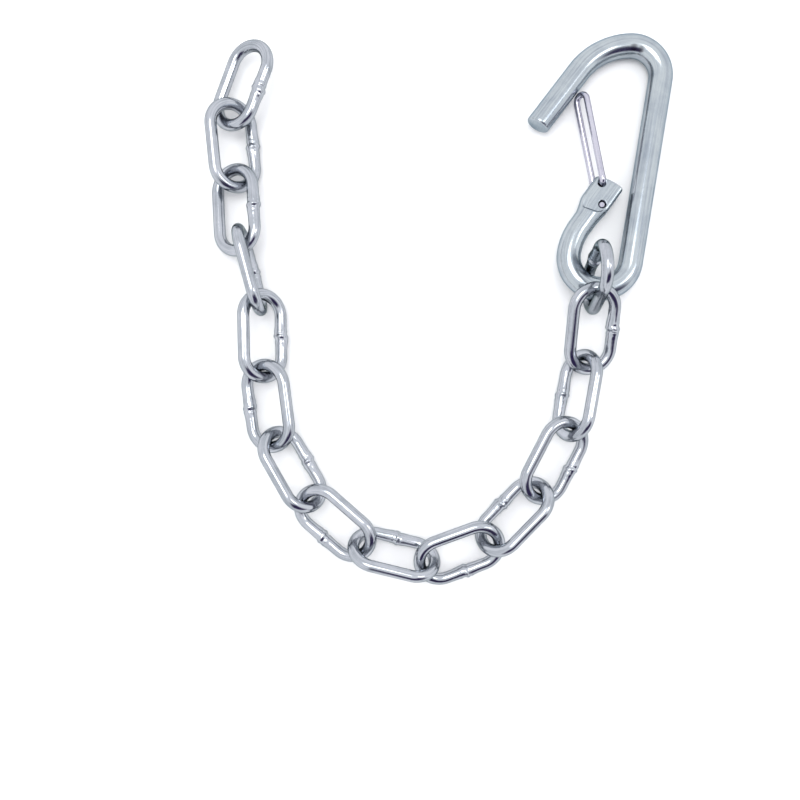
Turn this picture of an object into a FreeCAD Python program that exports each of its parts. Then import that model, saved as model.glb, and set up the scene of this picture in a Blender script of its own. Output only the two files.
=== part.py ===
import FreeCAD, Part
import math
import os

DOC = FreeCAD.newDocument("SafetyChainHook")
AXIS_X = FreeCAD.Vector(1, 0, 0)
AXIS_Y = FreeCAD.Vector(0, 1, 0)
AXIS_Z = FreeCAD.Vector(0, 0, 1)

# Driving dimensions in millimetres, and degrees where the name says turn or angle.
SIZES = {
    "hook_bar": 10.0,
    "spine_length": 80.0,
    "bow_radius": 13.1,
    "bend_radius": 12.6,
    "bend_turn": 101.6,
    "arm_radius": 28.6,
    "arm_turn": 51.2,
    "arm_length": 29.6,
    "shank_radius": 26.0,
    "shank_turn": 26.0,
    "shank_length": 9.0,
    "tab_length": 14.9,
    "tab_width": 12.6,
    "tab_thick": 5.5,
    "tab_left": 0.6,
    "tab_end_radius": 24.0,
    "tab_end_right": 3.0,
    "hole_dia": 3.4,
    "upper_hole_along": 20.0,
    "upper_hole_left": 3.4,
    "lower_hole_along": 12.7,
    "lower_hole_right": 2.0,
    "latch_wire": 2.6,
    "latch_reach": 43.8,
    "latch_angle": 110.5,
    "latch_bight_radius": 2.9,
    "latch_bight_tilt": 57.0,
    "latch_leg_height": 4.8,
    "corner_extra": 0.05,
    "foot_gap": 0.15,
    "foot_end_height": 0.4,
    "link_wire": 5.0,
    "link_inside_length": 29.8,
    "link_inside_width": 13.0,
    "weld_dia": 6.0,
}

# How the hook lies: its spine leans to the right, and the bow end is raised by the link under it.
HOOK_HEADING = -10.0
HOOK_TILT = -3.03
BOW_CENTRE = FreeCAD.Vector(66.50, 20.78, 9.9)

# How the chain lies, from the hook to the free end. Each row is a link: its heading in the
# plan, its roll about its own length, the side its weld is on, the height above the floor at
# which the next link crosses it, how far its near crown is from the last link's far crown, and
# how far it sits to the left of that crown. A link with a roll of 90 stands on edge.
CHAIN_LAY = [
    (270, 88, -1, 8.0, 0.0, 0.0),
    (268, -13, 1, 9.7, 0.0, 0.0),
    (259, 58, -1, 12.1, 5.7, -2.4),
    (243, -23, 1, 11.0, 5.4, -0.3),
    (226, 43, -1, 10.6, 5.8, 0.0),
    (200, -20, 1, 10.6, 6.6, 0.5),
    (166, 50, -1, 11.4, 5.8, -1.1),
    (139, -22, 1, 10.5, 6.0, -0.1),
    (120, 44, -1, 9.6, 5.6, -0.5),
    (97, -24, 1, 10.7, 6.0, 1.4),
    (91, 40, -1, 10.9, 5.3, 0.1),
    (105, 90, -1, 10.8, 6.5, 1.3),
    (94, -26, -1, 8.1, 8.5, 1.9),
    (95, 33, -1, 9.9, 7.5, -0.8),
    (69, -27, -1, 11.2, 8.8, -0.8),
]
FIRST_LINK_CENTRE = FreeCAD.Vector(63.20, 11.03, 19.47)
FIRST_LINK_PITCH = -70.5
SECOND_LINK_CROWN = FreeCAD.Vector(63.01, 7.11, 19.81)
# From a link's far crown back to where the next link bears on it.
CROWN_REST = 3.0
# A link on edge clears the floor by this much.
EDGE_LIFT = 0.6
# The latch's bight runs on into each leg by this many degrees.
BIGHT_OVERRUN = 3


def make_sheet():
    """Put every driving dimension in a spreadsheet cell with its own alias."""
    sheet = DOC.addObject("Spreadsheet::Sheet", "sizes")
    for row, (alias, value) in enumerate(SIZES.items(), start=1):
        sheet.set("A%d" % row, alias)
        sheet.set("B%d" % row, str(value))
        sheet.setAlias("B%d" % row, alias)
    DOC.recompute()
    return sheet


def turned(angle, axis=AXIS_Z):
    """A rotation by an angle in degrees about an axis."""
    return FreeCAD.Rotation(axis, angle)


def torus_piece(name, centre, start, ring, bar, sweep):
    """A bent round bar in the XY plane, from the start angle through the sweep."""
    piece = DOC.addObject("Part::Torus", name)
    piece.setExpression("Radius1", ring)
    piece.setExpression("Radius2", bar)
    piece.setExpression("Angle3", sweep)
    piece.Placement = FreeCAD.Placement(centre, turned(start))
    return piece


def rod_piece(name, begin, direction, radius, length):
    """A straight round bar from a point along a direction."""
    piece = DOC.addObject("Part::Cylinder", name)
    piece.setExpression("Radius", radius)
    piece.setExpression("Height", length)
    piece.Placement = FreeCAD.Placement(begin, FreeCAD.Rotation(AXIS_Z, direction))
    return piece


def ball_piece(name, centre, radius, pole=AXIS_Z):
    """A ball, used where two bars meet at an angle and for the weld upset."""
    piece = DOC.addObject("Part::Sphere", name)
    piece.setExpression("Radius", radius)
    piece.Placement = FreeCAD.Placement(centre, FreeCAD.Rotation(AXIS_Z, pole))
    return piece


def fused(name, pieces, placement):
    """Join pieces into one solid and give it the sub-part's place."""
    joined = DOC.addObject("Part::MultiFuse", name)
    joined.Shapes = pieces
    joined.Refine = True
    joined.Label = name
    joined.Placement = placement
    return joined


def polar(centre, radius, angle):
    """The point at a radius and an angle in degrees from a centre in the XY plane."""
    turn = math.radians(angle)
    return centre + FreeCAD.Vector(radius * math.cos(turn), radius * math.sin(turn), 0)


def hook_place():
    """The hook's place: spine along its own Y, origin at the centre of the lower bow."""
    return FreeCAD.Placement(BOW_CENTRE, turned(HOOK_HEADING) * turned(HOOK_TILT, AXIS_X))


def shank_line():
    """Start point and direction of the straight shank that ends in the tab."""
    shank_centre = FreeCAD.Vector(SIZES["shank_radius"] - SIZES["bow_radius"], 0, 0)
    start = polar(shank_centre, SIZES["shank_radius"], 180 - SIZES["shank_turn"])
    direction = polar(FreeCAD.Vector(), 1, 90 - SIZES["shank_turn"])
    return start, direction


def hole_point(along, left):
    """A point on the tab, measured along the shank and to the left of its centreline."""
    start, direction = shank_line()
    sideways = FreeCAD.Vector(-direction.y, direction.x, 0)
    return start + direction * along + sideways * left


def latch_pivot():
    """The latch turns about the point midway between its two holes."""
    upper = hole_point(SIZES["upper_hole_along"], SIZES["upper_hole_left"])
    lower = hole_point(SIZES["lower_hole_along"], -SIZES["lower_hole_right"])
    return (upper + lower) * 0.5


def hook_bends():
    """The bent lengths of the hook: lower bow, shank curve, upper bend and arm."""
    bar = "sizes.hook_bar / 2"
    half_turn = "180 deg"
    shank_centre = FreeCAD.Vector(SIZES["shank_radius"] - SIZES["bow_radius"], 0, 0)
    bend_centre = FreeCAD.Vector(SIZES["bow_radius"] - SIZES["bend_radius"], SIZES["spine_length"], 0)
    arm_centre = polar(bend_centre, SIZES["bend_radius"] - SIZES["arm_radius"], SIZES["bend_turn"])
    bow = torus_piece("bow", FreeCAD.Vector(), 180, "sizes.bow_radius", bar, half_turn)
    shank = torus_piece("shank_curve", shank_centre, 180 - SIZES["shank_turn"],
                        "sizes.shank_radius", bar, "sizes.shank_turn * 1 deg")
    bend = torus_piece("upper_bend", bend_centre, 0,
                       "sizes.bend_radius", bar, "sizes.bend_turn * 1 deg")
    arm = torus_piece("arm_curve", arm_centre, SIZES["bend_turn"],
                      "sizes.arm_radius", bar, "sizes.arm_turn * 1 deg")
    end_angle = SIZES["bend_turn"] + SIZES["arm_turn"]
    arm_end = polar(arm_centre, SIZES["arm_radius"], end_angle)
    arm_direction = polar(FreeCAD.Vector(), 1, end_angle + 90)
    tip = rod_piece("tip_arm", arm_end, arm_direction, bar, "sizes.arm_length")
    return [bow, shank, bend, arm, tip]


def hook_tab():
    """The flattened end of the shank, with a gently rounded far edge."""
    start, direction = shank_line()
    heading = math.degrees(math.atan2(direction.y, direction.x))
    plate = DOC.addObject("Part::Box", "tab_plate")
    plate.setExpression("Length", "sizes.tab_length")
    plate.setExpression("Width", "sizes.tab_width")
    plate.setExpression("Height", "sizes.tab_thick")
    to_right = FreeCAD.Vector(direction.y, -direction.x, 0)
    corner = start + direction * (SIZES["shank_length"] - 0.5)
    corner = corner + to_right * (SIZES["tab_width"] / 2 - SIZES["tab_left"])
    corner.z = -SIZES["tab_thick"] / 2
    plate.Placement = FreeCAD.Placement(corner, turned(heading))
    rounding = DOC.addObject("Part::Cylinder", "tab_end")
    rounding.setExpression("Radius", "sizes.tab_end_radius")
    rounding.setExpression("Height", "sizes.tab_thick")
    far = SIZES["shank_length"] - 0.5 + SIZES["tab_length"] - SIZES["tab_end_radius"]
    middle = start + direction * far + to_right * SIZES["tab_end_right"]
    middle.z = -SIZES["tab_thick"] / 2
    rounding.Placement = FreeCAD.Placement(middle, FreeCAD.Rotation())
    tab = DOC.addObject("Part::MultiCommon", "tab")
    tab.Shapes = [plate, rounding]
    return tab


def make_hook():
    """The hook: one round bar bent to shape, its end flattened and drilled for the latch."""
    bar = "sizes.hook_bar / 2"
    spine = rod_piece("spine", FreeCAD.Vector(SIZES["bow_radius"], 0, 0), AXIS_Y,
                      bar, "sizes.spine_length")
    start, direction = shank_line()
    shank = rod_piece("shank", start, direction, bar, "sizes.shank_length")
    body = fused("hook_solid", hook_bends() + [spine, shank, hook_tab()], FreeCAD.Placement())
    drills = []
    places = [
        hole_point(SIZES["upper_hole_along"], SIZES["upper_hole_left"]),
        hole_point(SIZES["lower_hole_along"], -SIZES["lower_hole_right"]),
    ]
    for number, place in enumerate(places, start=1):
        place.z = -SIZES["tab_thick"]
        drills.append(rod_piece("drill_%d" % number, place, AXIS_Z,
                                "sizes.hole_dia / 2", "sizes.tab_thick * 2"))
    both = DOC.addObject("Part::MultiFuse", "drills")
    both.Shapes = drills
    hook = DOC.addObject("Part::Cut", "hook")
    hook.Base = body
    hook.Tool = both
    hook.Label = "hook"
    hook.Placement = hook_place()
    return hook


def latch_bight():
    """Centre of the bight, the way it points, and the way across it from back to front."""
    out = polar(FreeCAD.Vector(), 1, SIZES["latch_angle"])
    centre = latch_pivot() + out * (SIZES["latch_reach"] - SIZES["latch_bight_radius"])
    right = FreeCAD.Vector(out.y, -out.x, 0)
    tilt = math.radians(SIZES["latch_bight_tilt"])
    across = right * math.cos(tilt) + AXIS_Z * math.sin(tilt)
    return centre, out, across


def latch_leg_ends():
    """Root and top centre points of the front leg, then of the back leg."""
    centre, _, across = latch_bight()
    reach = across * SIZES["latch_bight_radius"]
    upper = hole_point(SIZES["upper_hole_along"], SIZES["upper_hole_left"])
    lower = hole_point(SIZES["lower_hole_along"], -SIZES["lower_hole_right"])
    upper.z = SIZES["latch_leg_height"]
    lower.z = -SIZES["latch_leg_height"]
    return [(upper, centre + reach), (lower, centre - reach)]


def make_latch():
    """The moving loop of spring wire: two legs and the bight that closes on the arm."""
    wire = "sizes.latch_wire / 2"
    pieces = []
    for number, (low, high) in enumerate(latch_leg_ends(), start=1):
        run = high - low
        pieces.append(rod_piece("latch_leg_%d" % number, low, run, wire, "%.4f" % run.Length))
        pieces.append(ball_piece("latch_root_%d" % number, low, wire))
        pieces.append(ball_piece("latch_top_%d" % number, high, wire + " + sizes.corner_extra"))
    centre, out, across = latch_bight()
    bight = torus_piece("latch_bight", centre, 0, "sizes.latch_bight_radius", wire,
                        "%s deg" % (180 + 2 * BIGHT_OVERRUN))
    stand = FreeCAD.Rotation(across, out, across.cross(out), "XYZ")
    bight.Placement = FreeCAD.Placement(centre, stand * turned(-BIGHT_OVERRUN))
    pieces.append(bight)
    return fused("latch_loop", pieces, hook_place())


def make_feet():
    """The two ends of the latch wire, which sit in the tab's holes from either face."""
    pieces = []
    for number, (low, _) in enumerate(latch_leg_ends(), start=1):
        side = 1 if low.z > 0 else -1
        start = FreeCAD.Vector(low.x, low.y, side * SIZES["foot_end_height"])
        foot = rod_piece("foot_%d" % number, start, AXIS_Z * side, "sizes.latch_wire / 2",
                         "sizes.latch_leg_height - sizes.latch_wire / 2"
                         " - sizes.foot_end_height - sizes.foot_gap")
        foot.Label = "latch_foot_front" if side > 0 else "latch_foot_back"
        foot.Placement = hook_place().multiply(foot.Placement)
        pieces.append(foot)
    return pieces


def chain_places():
    """The place of every link, worked out from the lay along the chain."""
    crown = (SIZES["link_inside_length"] + SIZES["link_wire"]) / 2
    places = []
    for number, (heading, roll, weld, far_height, gap, left) in enumerate(CHAIN_LAY):
        if number == 0:
            centre = FIRST_LINK_CENTRE
            pitch = FIRST_LINK_PITCH
        else:
            offset = crown - gap / 2
            if number == 1:
                near = SECOND_LINK_CROWN
            else:
                previous = places[-1]
                near = previous.Base + previous.Rotation.multVec(AXIS_X) * offset
                near = polar(near, left, heading + 90)
                near.z = CHAIN_LAY[number - 1][3]
            run = offset + crown - CROWN_REST
            pitch = math.degrees(math.asin((far_height - near.z) / run))
            centre = near + FreeCAD.Rotation(heading, -pitch, roll).multVec(AXIS_X) * offset
            if roll == 90:
                centre.z = (SIZES["link_inside_width"] + 2 * SIZES["link_wire"]) / 2 + EDGE_LIFT
        turn = FreeCAD.Rotation(heading, -pitch, roll)
        places.append(FreeCAD.Placement(centre, turn))
    return places


def make_link(number, place, weld_side):
    """One welded link: two half rings, two side bars and the upset where it is welded."""
    wire = "sizes.link_wire / 2"
    ring = "(sizes.link_inside_width + sizes.link_wire) / 2"
    side_length = "sizes.link_inside_length - sizes.link_inside_width"
    radius = (SIZES["link_inside_width"] + SIZES["link_wire"]) / 2
    half = (SIZES["link_inside_length"] - SIZES["link_inside_width"]) / 2
    tag = "link_%02d" % number
    pieces = [
        torus_piece(tag + "_far", FreeCAD.Vector(half, 0, 0), -90, ring, wire, "180 deg"),
        torus_piece(tag + "_near", FreeCAD.Vector(-half, 0, 0), 90, ring, wire, "180 deg"),
    ]
    for side in (1, -1):
        start = FreeCAD.Vector(-half, side * radius, 0)
        pieces.append(rod_piece("%s_bar_%d" % (tag, side + 2), start, AXIS_X, wire, side_length))
    weld_place = FreeCAD.Vector(0, weld_side * radius, 0)
    pieces.append(ball_piece(tag + "_weld", weld_place, "sizes.weld_dia / 2", AXIS_X))
    return fused(tag, pieces, place)


def check(objects):
    """Stop if any object failed or any shape is empty or not valid."""
    for thing in DOC.Objects:
        if "Invalid" in thing.State or "Error" in thing.State:
            raise RuntimeError("%s did not compute" % thing.Label)
    for thing in objects:
        if thing.Shape.isNull() or not thing.Shape.isValid():
            raise RuntimeError("%s has no valid shape" % thing.Label)
        if len(thing.Shape.Solids) != 1:
            raise RuntimeError("%s has %d solids" % (thing.Label, len(thing.Shape.Solids)))


def build():
    """Make every sub-part, check it and export it."""
    make_sheet()
    objects = [make_hook(), make_latch()] + make_feet()
    for number, place in enumerate(chain_places(), start=1):
        objects.append(make_link(number, place, CHAIN_LAY[number - 1][2]))
    DOC.recompute()
    check(objects)
    os.makedirs("parts", exist_ok=True)
    for thing in objects:
        thing.Shape.exportStep("parts/%s.step" % thing.Label)
        print(thing.Label, round(thing.Shape.Volume, 1), thing.Shape.BoundBox)


build()
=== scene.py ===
import math

import bmesh
import bpy
import numpy as np
from mathutils import Matrix, Vector, noise


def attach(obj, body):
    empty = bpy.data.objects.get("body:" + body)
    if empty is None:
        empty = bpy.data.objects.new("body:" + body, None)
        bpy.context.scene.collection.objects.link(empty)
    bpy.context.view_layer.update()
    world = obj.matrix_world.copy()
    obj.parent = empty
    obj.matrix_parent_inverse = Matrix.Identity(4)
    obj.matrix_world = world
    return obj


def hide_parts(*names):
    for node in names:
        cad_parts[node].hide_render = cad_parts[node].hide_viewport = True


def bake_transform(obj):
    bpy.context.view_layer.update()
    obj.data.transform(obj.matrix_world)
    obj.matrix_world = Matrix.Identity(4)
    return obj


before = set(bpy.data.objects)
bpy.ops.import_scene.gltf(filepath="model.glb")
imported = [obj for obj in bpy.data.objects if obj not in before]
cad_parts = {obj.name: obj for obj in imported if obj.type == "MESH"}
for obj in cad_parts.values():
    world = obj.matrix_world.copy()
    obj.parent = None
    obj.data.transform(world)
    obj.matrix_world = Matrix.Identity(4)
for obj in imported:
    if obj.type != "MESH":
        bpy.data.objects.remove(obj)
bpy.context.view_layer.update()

MM = 0.001

# The hook's sizes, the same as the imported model's, in millimetres and degrees. A name that ends
# in R is a radius.
BAR_R = 5.0
SPINE = 80.0
BOW_R = 13.1
BEND_R, BEND_TURN = 12.6, 101.6
ARM_R, ARM_TURN, ARM_LENGTH = 28.6, 51.2, 29.6
SHANK_R, SHANK_TURN = 26.0, 26.0
TAB_FAR = 23.4
TAB_HALF_WIDTH = 6.3
TAB_HALF_THICK = 2.75
TAB_LEFT = 0.6
TAB_END_R = 24.0
TAB_END_RIGHT = 3.0
# Along the shank: where the bar starts to widen, over what run, and where the tab's end is drawn
# out to its curved edge.
TAB_WIDEN_FROM, TAB_WIDEN_RUN = 4.0, 8.0
TAB_TRIM_FROM = 16
# The pressed flat: where it begins on the centreline, how much that line slants and curves back at
# the sides, how deep the step down to it is and how soft its edges are.
PRESS_START, PRESS_SLANT, PRESS_CURVE = 8.2, 0.32, 2.2
PRESS_DEPTH, PRESS_SOFT = 2.6, 0.5
HOLE_R = 1.7
UPPER_HOLE = (20.0, 3.4)
LOWER_HOLE = (12.7, -2.0)
HOOK_AT = Vector((66.50, 20.78, 9.9))
HOOK_HEADING = -10.0
HOOK_TILT = -3.03

# The latch's sizes.
LATCH_WIRE_R = 1.3
LATCH_REACH, LATCH_ANGLE = 43.8, 110.5
BIGHT_R, BIGHT_TILT = 2.9, 57.0
LEG_HEIGHT = 4.8
# How far each turned-in corner reaches along the wire.
CORNER = 1.9
# Each wire end runs through its hole to this far past the flat's middle.
FOOT_END = 2.1

# The link's sizes: half its straight length and the radius of its bends' centreline.
LINK_COUNT = 15
LINK_WIRE_R = 2.5
LINK_INSIDE_LENGTH, LINK_INSIDE_WIDTH = 29.8, 13.0
LINK_HALF = (LINK_INSIDE_LENGTH - LINK_INSIDE_WIDTH) / 2
LINK_RING = LINK_INSIDE_WIDTH / 2 + LINK_WIRE_R
# No point of a weld is further than this from the wire's centreline.
WELD_MOST_R = 3.12


# ---------------------------------------------------------------- mesh helpers

def frames_along(points, up):
    """A tangent and two cross directions at each point, carried along without twist."""
    count = len(points)
    tangents = []
    for i in range(count):
        before = points[max(i - 1, 0)]
        after = points[min(i + 1, count - 1)]
        tangents.append((after - before).normalized())
    side = up.cross(tangents[0]).normalized()
    result = []
    for tangent in tangents:
        side = (side - tangent * side.dot(tangent)).normalized()
        result.append((tangent, side, tangent.cross(side)))
    return result


def lengths_along(points):
    """Distance run from the first point to each point."""
    total = [0.0]
    for a, b in zip(points, points[1:]):
        total.append(total[-1] + (b - a).length)
    return total


def skin(name, rings, runs, closed, caps=()):
    """A mesh from rings of points, with UV: U once round, V the run in centimetres."""
    mesh = bpy.data.meshes.new(name)
    bm = bmesh.new()
    layer = bm.loops.layers.uv.new("UVMap")
    rows = [[bm.verts.new(p * MM) for p in ring] for ring in rings]
    round_count = len(rings[0])
    spans = len(rows) if closed else len(rows) - 1
    for i in range(spans):
        low, high = rows[i], rows[(i + 1) % len(rows)]
        for j in range(round_count):
            k = (j + 1) % round_count
            face = bm.faces.new((low[j], low[k], high[k], high[j]))
            u0, u1 = j / round_count, (j + 1) / round_count
            v0, v1 = runs[i] / 10, runs[i + 1] / 10
            for loop, uv in zip(face.loops, ((u0, v0), (u1, v0), (u1, v1), (u0, v1))):
                loop[layer].uv = uv
            face.smooth = True
    for which in caps:
        ring = rows[which]
        middle = bm.verts.new(sum((v.co for v in ring), Vector()) / round_count)
        for j in range(round_count):
            k = (j + 1) % round_count
            order = (ring[k], ring[j], middle) if which == 0 else (ring[j], ring[k], middle)
            face = bm.faces.new(order)
            face.smooth = True
            for loop in face.loops:
                offset = (loop.vert.co - middle.co) / MM / 10
                loop[layer].uv = (0.5 + offset.x, offset.y)
    bmesh.ops.recalc_face_normals(bm, faces=bm.faces)
    bm.to_mesh(mesh)
    bm.free()
    piece = bpy.data.objects.new(name, mesh)
    bpy.context.scene.collection.objects.link(piece)
    return piece


def ring_at(centre, side, over, radius, count):
    """A ring of points round a centre."""
    ring = []
    for j in range(count):
        turn = 2 * math.pi * j / count
        ring.append(centre + side * (radius * math.cos(turn)) + over * (radius * math.sin(turn)))
    return ring


def smooth(value):
    """0 below 0, 1 above 1, and a soft S between."""
    value = min(max(value, 0.0), 1.0)
    return value * value * (3 - 2 * value)


def polar(centre, radius, degrees):
    """The point at a radius and an angle from a centre in the XY plane."""
    turn = math.radians(degrees)
    return centre + Vector((radius * math.cos(turn), radius * math.sin(turn), 0))


def arc_points(centre, radius, start, sweep, spacing):
    """Points along an arc, without its last point."""
    count = max(2, int(abs(math.radians(sweep)) * radius / spacing))
    return [polar(centre, radius, start + sweep * i / count) for i in range(count)]


def line_points(start, direction, length, spacing):
    """Points along a straight run, without its last point."""
    count = max(2, int(length / spacing))
    return [start + direction * (length * i / count) for i in range(count)]


# ---------------------------------------------------------------- materials

# A colour mix node's sockets: its two colours going in and its colour coming out.
FIRST_COLOUR, SECOND_COLOUR, MIXED_COLOUR = 6, 7, 2
# How much of the plating's pattern is drawn streaks, and how much is cloud.
STREAK_SHARE, CLOUD_SHARE = 0.65, 0.35
# How many patches of streaks there are in a centimetre along the bar.
STREAK_RUN = 0.22
# The dark colour painted on: painted shade where parts touch, darkened welds and other dark spots on
# the plating.
DARK_WEAR_AND_SHADE = (0.11, 0.11, 0.125, 1)


def nodes_of(material):
    """The material's node tree, its shader and a way to add a node with settings."""
    material.use_nodes = True
    tree = material.node_tree
    shader = tree.nodes["Principled BSDF"]

    def add(kind, **inputs):
        node = tree.nodes.new(kind)
        for key, value in inputs.items():
            node.inputs[key].default_value = value
        return node
    return tree, shader, add


def zinc(name, tint, dark, edge, rough, streaks, fine):
    """Bright zinc plate: drawn streaks along the bar, cloudy plating, and dark spots: painted shade
    where parts touch, and darkened welds.
    """
    material = bpy.data.materials.new(name)
    tree, shader, add = nodes_of(material)
    link = tree.links.new
    shader.inputs["Metallic"].default_value = 1.0
    shader.inputs["Specular Tint"].default_value = (*edge, 1)
    uv = tree.nodes.new("ShaderNodeUVMap")
    uv.uv_map = "UVMap"
    place = tree.nodes.new("ShaderNodeTexCoord")

    stretch = add("ShaderNodeMapping")
    stretch.inputs["Scale"].default_value = (streaks, STREAK_RUN, 1.0)
    link(uv.outputs["UV"], stretch.inputs["Vector"])
    drawn = add("ShaderNodeTexNoise", Scale=1.0, Detail=5.0, Roughness=0.65)
    link(stretch.outputs["Vector"], drawn.inputs["Vector"])

    cloud = add("ShaderNodeTexNoise", Scale=130.0, Detail=4.0, Roughness=0.55, Distortion=0.4)
    link(place.outputs["Object"], cloud.inputs["Vector"])
    grain = add("ShaderNodeTexNoise", Scale=fine, Detail=3.0, Roughness=0.6)
    link(place.outputs["Object"], grain.inputs["Vector"])

    both = tree.nodes.new("ShaderNodeMath")
    both.operation = "MULTIPLY_ADD"
    both.inputs[1].default_value = STREAK_SHARE
    link(drawn.outputs["Fac"], both.inputs[0])
    cloud_part = tree.nodes.new("ShaderNodeMath")
    cloud_part.operation = "MULTIPLY"
    cloud_part.inputs[1].default_value = CLOUD_SHARE
    link(cloud.outputs["Fac"], cloud_part.inputs[0])
    link(cloud_part.outputs[0], both.inputs[2])

    colour = add("ShaderNodeValToRGB")
    ramp = colour.color_ramp
    ramp.elements[0].position, ramp.elements[0].color = 0.35, (*dark, 1)
    ramp.elements[1].position, ramp.elements[1].color = 0.57, (*tint, 1)
    link(both.outputs[0], colour.inputs["Fac"])

    # This attribute mixes in the dark colour: painted shade where parts touch, darkened welds and
    # other dark spots.
    shade_and_wear = tree.nodes.new("ShaderNodeAttribute")
    shade_and_wear.attribute_name = "wear_and_shade"
    speckle = tree.nodes.new("ShaderNodeMath")
    speckle.operation = "MULTIPLY"
    link(shade_and_wear.outputs["Fac"], speckle.inputs[0])
    link(drawn.outputs["Fac"], speckle.inputs[1])
    dark_spot_ramp = add("ShaderNodeValToRGB")
    dark_spot_ramp.color_ramp.elements[0].position = 0.22
    dark_spot_ramp.color_ramp.elements[1].position = 0.5
    link(speckle.outputs[0], dark_spot_ramp.inputs["Fac"])
    mixed = tree.nodes.new("ShaderNodeMix")
    mixed.data_type = "RGBA"
    mixed.inputs[SECOND_COLOUR].default_value = DARK_WEAR_AND_SHADE
    link(dark_spot_ramp.outputs["Color"], mixed.inputs[0])
    link(colour.outputs["Color"], mixed.inputs[FIRST_COLOUR])
    link(mixed.outputs[MIXED_COLOUR], shader.inputs["Base Color"])

    rough_range = add("ShaderNodeMapRange")
    rough_range.inputs["From Min"].default_value = 0.3
    rough_range.inputs["From Max"].default_value = 0.7
    rough_range.inputs["To Min"].default_value = rough + 0.09
    rough_range.inputs["To Max"].default_value = rough - 0.05
    link(both.outputs[0], rough_range.inputs["Value"])
    link(rough_range.outputs["Result"], shader.inputs["Roughness"])

    lines = add("ShaderNodeBump", Strength=0.08, Distance=0.00005)
    link(drawn.outputs["Fac"], lines.inputs["Height"])
    pits = add("ShaderNodeBump", Strength=0.06, Distance=0.00004)
    link(grain.outputs["Fac"], pits.inputs["Height"])
    link(lines.outputs["Normal"], pits.inputs["Normal"])
    link(pits.outputs["Normal"], shader.inputs["Normal"])
    return material


def floor_material():
    """A plain pale floor."""
    material = bpy.data.materials.new("floor")
    shader = nodes_of(material)[1]
    shader.inputs["Base Color"].default_value = (0.97, 0.97, 0.97, 1)
    shader.inputs["Roughness"].default_value = 0.9
    shader.inputs["Specular IOR Level"].default_value = 0.1
    return material


ZINC_BAR = zinc("zinc_bar", tint=(0.425, 0.46, 0.485), dark=(0.27, 0.305, 0.35),
                edge=(0.32, 0.40, 0.45), rough=0.18, streaks=34.0, fine=2600.0)
ZINC_WIRE = zinc("zinc_wire", tint=(0.54, 0.53, 0.60), dark=(0.33, 0.32, 0.41),
                 edge=(0.36, 0.38, 0.46), rough=0.12, streaks=12.0, fine=3200.0)
ZINC_LINK = zinc("zinc_link", tint=(0.44, 0.455, 0.495), dark=(0.27, 0.295, 0.325),
                 edge=(0.34, 0.39, 0.38), rough=0.14, streaks=16.0, fine=2400.0)


def paint_dark_spots(piece, spots):
    """Write how dark each point is painted, from spots of (centre, reach, strength) in metres:
    painted shade where parts touch, darkened welds and other dark spots.
    """
    layer = piece.data.attributes.new("wear_and_shade", "FLOAT", "POINT")
    values = []
    for vertex in piece.data.vertices:
        most = 0.0
        for centre, reach, strength in spots:
            most = max(most, strength * (1 - smooth((vertex.co - centre).length / reach)))
        values.append(most)
    layer.data.foreach_set("value", values)


def finish_piece(piece, material, body, spots=()):
    """Give a piece its material, its painted shade and dark spots, and its body."""
    piece.data.materials.clear()
    piece.data.materials.append(material)
    paint_dark_spots(piece, spots)
    if body:
        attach(piece, body)


# ---------------------------------------------------------------- hook

# How much longer the tip is on one side than on the other, per millimetre across.
TIP_SKEW = 0.12

# Where the hook is painted dark: a point on the hook, how far it spreads, how strong.
HOOK_SHADE_AND_SPOTS = [
    # Dark spots on the top face, inside the top bend.
    ((-3.2, 88.8, 4.6), 2.6, 0.8),
    ((-1.0, 89.3, 4.6), 3.8, 1.0),
    ((2.0, 89.4, 4.6), 3.2, 0.9),
    # Painted shade on the bottom of the bow, above and below, where a link passes through it.
    ((-3.0, -12.5, 2.0), 6.0, 0.7),
    ((3.0, -12.8, -1.0), 6.0, 0.6),
]

# The tip's edge is rounded off in steps, and its slanted cut fades out over the first rings.
TIP_ROUND, TIP_STEPS, TIP_RINGS = 0.9, 6, 12
# Distance between rings along the bar and along the tab, and the tab's rounded end.
HOOK_SPACING, TAB_SPACING, TAB_EDGE = 0.7, 0.3, 0.35


def hook_matrix():
    """The hook's place in the part's frame, in metres."""
    turn = Matrix.Rotation(math.radians(HOOK_HEADING), 4, "Z")
    tilt = Matrix.Rotation(math.radians(HOOK_TILT), 4, "X")
    return Matrix.Translation(HOOK_AT * MM) @ turn @ tilt


def shank_line():
    """Start point and direction of the straight shank."""
    centre = Vector((SHANK_R - BOW_R, 0, 0))
    return polar(centre, SHANK_R, 180 - SHANK_TURN), polar(Vector(), 1, 90 - SHANK_TURN)


def on_tab(along, left):
    """A point on the tab, measured along the shank and to the left of its centreline."""
    start, direction = shank_line()
    return start + direction * along + Vector((-direction.y, direction.x, 0)) * left


def hook_path(spacing):
    """The centreline from the tip of the arm, round the hook, to the start of the shank."""
    bend = Vector((BOW_R - BEND_R, SPINE, 0))
    arm = polar(bend, BEND_R - ARM_R, BEND_TURN)
    end = BEND_TURN + ARM_TURN
    arm_end = polar(arm, ARM_R, end)
    inward = polar(Vector(), 1, end - 90)
    tip = arm_end - inward * ARM_LENGTH
    points = line_points(tip, inward, ARM_LENGTH, spacing)
    points += arc_points(arm, ARM_R, end, -ARM_TURN, spacing)
    points += arc_points(bend, BEND_R, BEND_TURN, -BEND_TURN, spacing)
    points += line_points(Vector((BOW_R, SPINE, 0)), Vector((0, -1, 0)), SPINE, spacing)
    points += arc_points(Vector(), BOW_R, 0, -180, spacing)
    points += arc_points(Vector((SHANK_R - BOW_R, 0, 0)), SHANK_R, 180, -SHANK_TURN, spacing)
    return points


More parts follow.
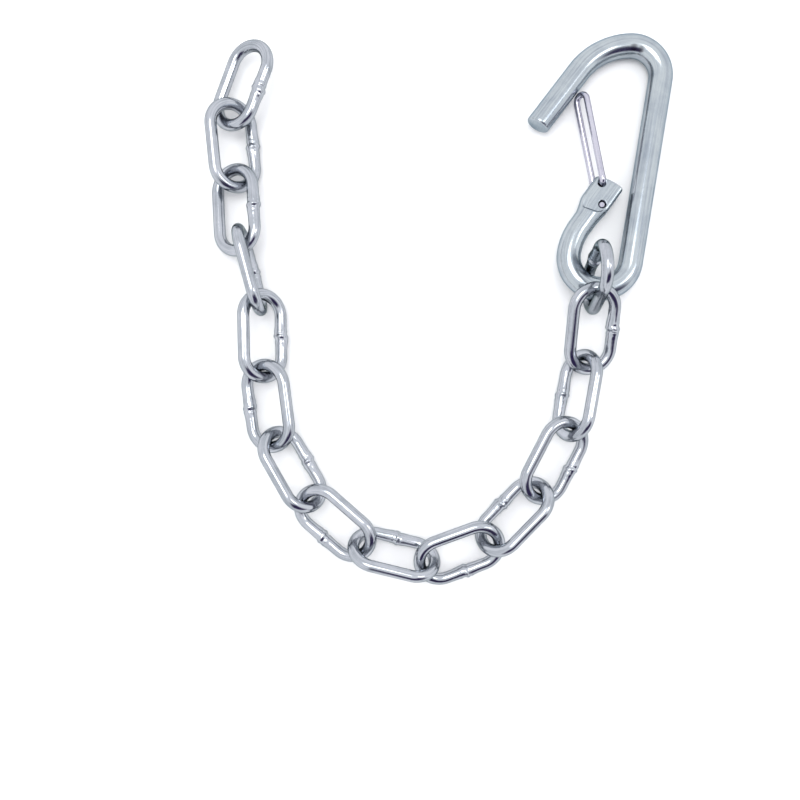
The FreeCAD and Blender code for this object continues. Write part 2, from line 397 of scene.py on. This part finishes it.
def press_line(left):
    """How far along the shank the pressed flat begins, at a distance left of its centre."""
    bend = smooth((abs(left - TAB_LEFT) - 2.6) / 3.2)
    return PRESS_START - PRESS_SLANT * left + PRESS_CURVE * bend


def tab_end(left):
    """How far along the shank the tab's far edge is, at a distance left of its centre."""
    return TAB_FAR - (left + TAB_END_RIGHT) ** 2 / (2 * TAB_END_R)


def tab_ring(along, count):
    """A cross-section of the shank where it widens and is pressed flat."""
    start, direction = shank_line()
    left_way = Vector((-direction.y, direction.x, 0))
    share = smooth((along - TAB_WIDEN_FROM) / TAB_WIDEN_RUN)
    half_width = BAR_R + (TAB_HALF_WIDTH - BAR_R) * share
    shift = TAB_LEFT * share
    ring = []
    for j in range(count):
        turn = 2 * math.pi * j / count
        left = half_width * math.cos(turn) + shift
        height = BAR_R * math.sin(turn)
        gap = press_line(left) - along
        limit = TAB_HALF_THICK + PRESS_DEPTH * smooth((gap + 0.25) / 1.5)
        soft = limit - abs(height)
        if soft < PRESS_SOFT:
            rounded = PRESS_SOFT * math.exp((soft - PRESS_SOFT) / PRESS_SOFT)
            height = math.copysign(limit - rounded, height)
        height = max(-limit, min(limit, height))
        reach = along
        if along > TAB_TRIM_FROM:
            drawn_out = (tab_end(left) - TAB_TRIM_FROM) / (TAB_FAR - TAB_TRIM_FROM)
            reach = TAB_TRIM_FROM + (along - TAB_TRIM_FROM) * drawn_out
        ring.append(start + direction * reach + left_way * left + Vector((0, 0, height)))
    return ring


def shrunk(ring, amount, onward):
    """The same ring drawn in by an amount and moved on, for a rounded edge."""
    centre = sum(ring, Vector()) / len(ring)
    result = []
    for point in ring:
        away = point - centre
        away = away * (1 - amount / away.length)
        result.append(centre + away + onward)
    return result


def make_hook():
    """One bar: a flat-cut tip, the long open throat, the closed bow and the drilled flat."""
    count = 72
    path = hook_path(HOOK_SPACING)
    way = frames_along(path, Vector((0, 0, 1)))
    rings = []
    run = []
    tangent, side, over = way[0]
    for step in range(TIP_STEPS):
        turn = math.radians(90 * step / TIP_STEPS)
        inset = TIP_ROUND * (1 - math.sin(turn))
        depth = TIP_ROUND * (1 - math.cos(turn))
        rings.append(ring_at(path[0] + tangent * depth, side, over, BAR_R - inset, count))
        run.append(depth)
    for i in range(2, len(path)):
        rings.append(ring_at(path[i], way[i][1], way[i][2], BAR_R, count))
        run.append(HOOK_SPACING * i)
    base = HOOK_SPACING * len(path)
    along = 0.0
    while along < TAB_FAR - TAB_EDGE:
        rings.append(tab_ring(along, count))
        run.append(base + along)
        along += TAB_SPACING
    last = tab_ring(TAB_FAR - TAB_EDGE, count)
    rings.append(last)
    run.append(base + TAB_FAR - TAB_EDGE)
    direction = shank_line()[1]
    for inset, depth in ((0.08, 0.18), (0.2, 0.3), (0.38, TAB_EDGE)):
        rings.append(shrunk(last, inset, direction * depth))
        run.append(base + TAB_FAR - TAB_EDGE + depth)
    # The tip's cut is a little askew: its outer side is longer.
    for i, ring in enumerate(rings[:TIP_RINGS]):
        fade = 1 - i / TIP_RINGS
        for j, point in enumerate(ring):
            offset = (point - path[0]).dot(side)
            ring[j] = point - tangent * (offset * TIP_SKEW * fade)
    hook = skin("hook_bar", rings, run, False, caps=(0, -1))
    cut_holes(hook)
    hook.data.set_sharp_from_angle(angle=math.radians(50))
    hook.data.transform(hook_matrix())
    place = hook_matrix()
    shade_and_wear = []
    for local, reach, strength in HOOK_SHADE_AND_SPOTS:
        shade_and_wear.append((place @ (Vector(local) * MM), reach * MM, strength))
    finish_piece(hook, ZINC_BAR, "hook_body", shade_and_wear)
    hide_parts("hook")
    return hook


def cut_holes(hook):
    """Drill the two holes, each with a slightly broken edge on both faces."""
    # Heights and radii of the cutter: straight through the flat and wider past each face.
    profile = [(-6.0, 3.4), (-2.95, 2.05), (-2.55, HOLE_R), (2.55, HOLE_R), (2.95, 2.05), (6.0, 3.4)]
    for number, (along, left) in enumerate((UPPER_HOLE, LOWER_HOLE)):
        centre = on_tab(along, left)
        rings = []
        for height, radius in profile:
            middle = centre + Vector((0, 0, height))
            rings.append(ring_at(middle, Vector((1, 0, 0)), Vector((0, 1, 0)), radius, 40))
        cutter = skin("hole_cutter_%d" % number, rings, [0, 1, 2, 3, 4, 5], False, caps=(0, -1))
        cut = hook.modifiers.new("hole", "BOOLEAN")
        cut.operation = "DIFFERENCE"
        cut.solver = "EXACT"
        cut.object = cutter
        graph = bpy.context.evaluated_depsgraph_get()
        result = bpy.data.meshes.new_from_object(hook.evaluated_get(graph))
        hook.modifiers.clear()
        hook.data = result
        bpy.data.objects.remove(cutter)


# ---------------------------------------------------------------- latch

def bezier(a, b, c, count):
    """Points of a soft corner from a to c, pulled towards b, without the last point."""
    points = []
    for i in range(count):
        t = i / count
        points.append(a * (1 - t) ** 2 + b * (2 * t * (1 - t)) + c * t ** 2)
    return points


def latch_path():
    """The wire from the front hole, up one leg, round the bight and down to the back hole."""
    out = polar(Vector(), 1, LATCH_ANGLE)
    upper = on_tab(*UPPER_HOLE)
    lower = on_tab(*LOWER_HOLE)
    pivot = (upper + lower) / 2
    centre = pivot + out * (LATCH_REACH - BIGHT_R)
    tilt = math.radians(BIGHT_TILT)
    across = Vector((out.y, -out.x, 0)) * math.cos(tilt) + Vector((0, 0, math.sin(tilt)))
    tops = (centre + across * BIGHT_R, centre - across * BIGHT_R)
    legs = []
    for root, height, top in ((upper, LEG_HEIGHT, tops[0]), (lower, -LEG_HEIGHT, tops[1])):
        corner = root + Vector((0, 0, height))
        foot = root - Vector((0, 0, math.copysign(FOOT_END, height)))
        turn_in = corner - Vector((0, 0, math.copysign(CORNER, height)))
        away = (top - corner).normalized()
        turn_out = corner + away * CORNER
        leg = line_points(foot, (turn_in - foot).normalized(), (turn_in - foot).length, 0.4)
        leg += bezier(turn_in, corner, turn_out, 8)
        leg += line_points(turn_out, away, (top - turn_out).length, 0.8)
        legs.append(leg)
    bight = []
    for i in range(25):
        turn = math.pi * i / 24
        bight.append(centre + across * (BIGHT_R * math.cos(turn)) + out * (BIGHT_R * math.sin(turn)))
    return legs[0] + bight + legs[1][::-1]


def make_latch():
    """The latch: one length of spring wire, its ends turned into the two holes."""
    path = latch_path()
    way = frames_along(path, Vector((1, 0, 0)))
    run = lengths_along(path)
    rings = []
    for i, point in enumerate(path):
        end = min(run[i], run[-1] - run[i])
        radius = LATCH_WIRE_R - 0.25 * (1 - smooth(end / 0.4))
        rings.append(ring_at(point, way[i][1], way[i][2], radius, 24))
    latch = skin("latch_wire", rings, run, False, caps=(0, -1))
    latch.data.set_sharp_from_angle(angle=math.radians(50))
    place = hook_matrix()
    latch.data.transform(place)
    # Painted shade on the bight's far end, where it rests against the hook's arm.
    bight_top = place @ (path[len(path) // 2] * MM)
    finish_piece(latch, ZINC_WIRE, None, [(bight_top, 2.5 * MM, 0.6)])
    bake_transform(latch)
    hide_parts("latch_loop", "latch_foot_front", "latch_foot_back")
    return latch


# ---------------------------------------------------------------- links

def link_pose(node):
    """Centre, long way and the way towards the weld of a link, measured on its CAD solid."""
    mesh = node.data
    mesh.calc_loop_triangles()
    points = np.array([v.co for v in mesh.vertices], float).reshape(-1, 3)
    corners = points[np.array([t.vertices for t in mesh.loop_triangles])]
    a, b, c = corners[:, 0], corners[:, 1], corners[:, 2]
    area = np.linalg.norm(np.cross(b - a, c - a), axis=1) / 2
    middle = ((a + b + c) / 3 * area[:, None]).sum(0) / area.sum()
    a, b, c = a - middle, b - middle, c - middle
    spread = np.zeros((3, 3))
    for x, y in ((a, a), (b, b), (c, c), (a + b + c, a + b + c)):
        spread += np.einsum("n,ni,nj->ij", area / 12, x, y)
    axes = np.linalg.eigh(spread)[1]
    flat, side, long = axes[:, 0], axes[:, 1], axes[:, 2]
    along = (points - middle) @ long
    across = (points - middle) @ side
    lift = (points - middle) @ flat
    ends = np.abs(along - (along.max() + along.min()) / 2) > LINK_HALF * MM
    centre_side = (across[ends].max() + across[ends].min()) / 2
    centre = middle + long * (along.max() + along.min()) / 2 + side * centre_side
    centre = centre + flat * (lift.max() + lift.min()) / 2
    if centre_side > 0:
        side = -side
    return Vector(centre), Vector(long), Vector(side)


def link_stations():
    """Centreline points of a link in its own plane, from the weld round and back to it."""
    points = []
    step = 0.5
    forward = Vector((1, 0, 0))
    points += line_points(Vector((0, LINK_RING, 0)), forward, LINK_HALF, 0.3)
    points += arc_points(Vector((LINK_HALF, 0, 0)), LINK_RING, 90, -180, step)
    points += line_points(Vector((LINK_HALF, -LINK_RING, 0)), -forward, 2 * LINK_HALF, step * 2)
    points += arc_points(Vector((-LINK_HALF, 0, 0)), LINK_RING, -90, -180, step)
    points += line_points(Vector((-LINK_HALF, LINK_RING, 0)), forward, LINK_HALF, 0.3)
    return points


def weld_shape(run, seed):
    """Bar radius and sideways step near the butt weld, at a run from its middle.

    The wire swells over a wide run, with a narrow collar and a groove on either side of it.
    """
    near = math.exp(-((run - 0.3) / 3.1) ** 2)
    collar = math.exp(-((run - 0.15) / 0.42) ** 2)
    groove = math.exp(-((run + 1.15) / 0.38) ** 2) + 0.6 * math.exp(-((run - 1.6) / 0.45) ** 2)
    radius = LINK_WIRE_R + 0.40 * near + 0.20 * collar - 0.22 * groove
    step = 0.24 * math.tanh((run - 0.2) / 0.5) * math.exp(-(run / 4.2) ** 2)
    return radius, step * (1 if seed % 2 else -1)


def make_link(number):
    """One welded link, built on the place of its CAD solid."""
    name = "link_%02d" % number
    centre, long, side = link_pose(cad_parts[name])
    normal = long.cross(side)
    base = Matrix((long, side, normal)).transposed().to_4x4()
    place = Matrix.Translation(centre) @ base
    count = 32
    stations = link_stations()
    runs = lengths_along(stations + [stations[0]])
    total = runs[-1]
    rings = []
    for i, point in enumerate(stations):
        before = stations[i - 1]
        after = stations[(i + 1) % len(stations)]
        tangent = (after - before).normalized()
        outward = Vector((0, 0, 1)).cross(tangent)
        run = runs[i] if runs[i] < total / 2 else runs[i] - total
        radius, step = weld_shape(run, number)
        centre_point = point + outward * step
        ring = []
        lump = math.exp(-(run / 3.4) ** 2)
        for j in range(count):
            turn = 2 * math.pi * j / count
            way = outward * math.cos(turn) + Vector((0, 0, 1)) * math.sin(turn)
            spot = Vector((math.cos(turn) * 1.6, math.sin(turn) * 1.6, run * 0.9 + number * 7.3))
            rough_radius = radius + 0.20 * lump * noise.noise(spot)
            ring.append(centre_point + way * min(rough_radius, WELD_MOST_R))
        rings.append(ring)
    link = skin(name + "_bar", rings, runs, True)
    link.data.transform(place)
    # A darkened weld, and painted shade on the inner faces of both ends, where the next links pass
    # through.
    spots = [(place @ (Vector((0.2, LINK_RING, 0)) * MM), 4.2 * MM, 0.45)]
    inner_end = LINK_HALF + LINK_RING - LINK_WIRE_R
    for end in (1, -1):
        spots.append((place @ (Vector((end * inner_end, 0, 0)) * MM), 5.0 * MM, 0.75))
    finish_piece(link, ZINC_LINK, name + "_body", spots)
    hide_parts(name)
    return link


# ---------------------------------------------------------------- stage, light and camera

FLOOR_HALF, FLOOR_DROP = 4.0, 0.0001
CAMERA_AT = (-0.0174, -0.0389, 0.360)
# The room's light, its dark opening and the level direction that the opening is in.
ROOM = (1.30, 1.32, 1.35)
ROOM_DARK = (0.05, 0.035, 0.12)
DARK_WAY = (0.39, -0.92, 0.0)


def make_floor():
    """A large plain floor under the part."""
    mesh = bpy.data.meshes.new("floor")
    half = FLOOR_HALF
    corners = [(-half, -half, 0), (half, -half, 0), (half, half, 0), (-half, half, 0)]
    mesh.from_pydata(corners, [], [(0, 1, 2, 3)])
    mesh.materials.append(floor_material())
    floor = bpy.data.objects.new("floor", mesh)
    floor.location.z = -FLOOR_DROP
    bpy.context.scene.collection.objects.link(floor)


def soft_light(name, place, aim, size, power):
    """A rectangular soft light aimed at a point."""
    data = bpy.data.lights.new(name, "AREA")
    data.shape = "RECTANGLE"
    data.size, data.size_y = size
    data.energy = power
    lamp = bpy.data.objects.new(name, data)
    lamp.location = place
    lamp.rotation_euler = (Vector(aim) - Vector(place)).to_track_quat("-Z", "Y").to_euler()
    bpy.context.scene.collection.objects.link(lamp)


def eased(tree, source, low, high, start, end):
    """A soft ramp of a value: from start at low to end at high."""
    ramp = tree.nodes.new("ShaderNodeMapRange")
    ramp.interpolation_type = "SMOOTHSTEP"
    ramp.inputs["From Min"].default_value = low
    ramp.inputs["From Max"].default_value = high
    ramp.inputs["To Min"].default_value = start
    ramp.inputs["To Max"].default_value = end
    tree.links.new(source, ramp.inputs["Value"])
    return ramp.outputs["Result"]


def product(tree, a, b):
    """Two values multiplied."""
    node = tree.nodes.new("ShaderNodeMath")
    node.operation = "MULTIPLY"
    tree.links.new(a, node.inputs[0])
    tree.links.new(b, node.inputs[1])
    return node.outputs[0]


def make_world():
    """An even pale room with one dark opening, part way up its near side and a little right."""
    world = bpy.data.worlds.new("studio")
    bpy.context.scene.world = world
    world.use_nodes = True
    tree = world.node_tree
    background = tree.nodes["Background"]
    coords = tree.nodes.new("ShaderNodeTexCoord")
    split = tree.nodes.new("ShaderNodeSeparateXYZ")
    tree.links.new(coords.outputs["Generated"], split.inputs["Vector"])
    level = tree.nodes.new("ShaderNodeVectorMath")
    level.operation = "MULTIPLY"
    level.inputs[1].default_value = (1, 1, 0)
    tree.links.new(coords.outputs["Generated"], level.inputs[0])
    unit = tree.nodes.new("ShaderNodeVectorMath")
    unit.operation = "NORMALIZE"
    tree.links.new(level.outputs[0], unit.inputs[0])
    facing = tree.nodes.new("ShaderNodeVectorMath")
    facing.operation = "DOT_PRODUCT"
    facing.inputs[1].default_value = DARK_WAY
    tree.links.new(unit.outputs[0], facing.inputs[0])
    above = eased(tree, split.outputs["Z"], 0.24, 0.40, 0.0, 1.0)
    below = eased(tree, split.outputs["Z"], 0.80, 0.90, 1.0, 0.0)
    beside = eased(tree, facing.outputs["Value"], 0.66, 0.88, 0.0, 1.0)
    zone = product(tree, product(tree, above, below), beside)
    mixed = tree.nodes.new("ShaderNodeMix")
    mixed.data_type = "RGBA"
    mixed.inputs[FIRST_COLOUR].default_value = (*ROOM, 1)
    mixed.inputs[SECOND_COLOUR].default_value = (*ROOM_DARK, 1)
    tree.links.new(zone, mixed.inputs[0])
    tree.links.new(mixed.outputs[MIXED_COLOUR], background.inputs["Color"])
    background.inputs["Strength"].default_value = 1.0


def make_camera():
    """A camera that looks straight down from 360 mm."""
    data = bpy.data.cameras.new("camera")
    data.lens = 37.5
    data.sensor_width = 36.0
    data.clip_start = 0.01
    data.clip_end = 20.0
    camera = bpy.data.objects.new("camera", data)
    camera.location = CAMERA_AT
    bpy.context.scene.collection.objects.link(camera)
    bpy.context.scene.camera = camera


make_camera()
make_world()
make_floor()
soft_light("overhead", (-0.13, 0.15, 1.2), (0.0, 0.0, 0.0), (0.6, 0.5), 4.4)
soft_light("right_lamp", (0.78, 0.04, 1.04), (0.0, 0.0, 0.0), (0.2, 0.4), 1.5)
bpy.context.scene.view_settings.view_transform = "Standard"

make_hook()
make_latch()
for link_number in range(1, LINK_COUNT + 1):
    make_link(link_number)
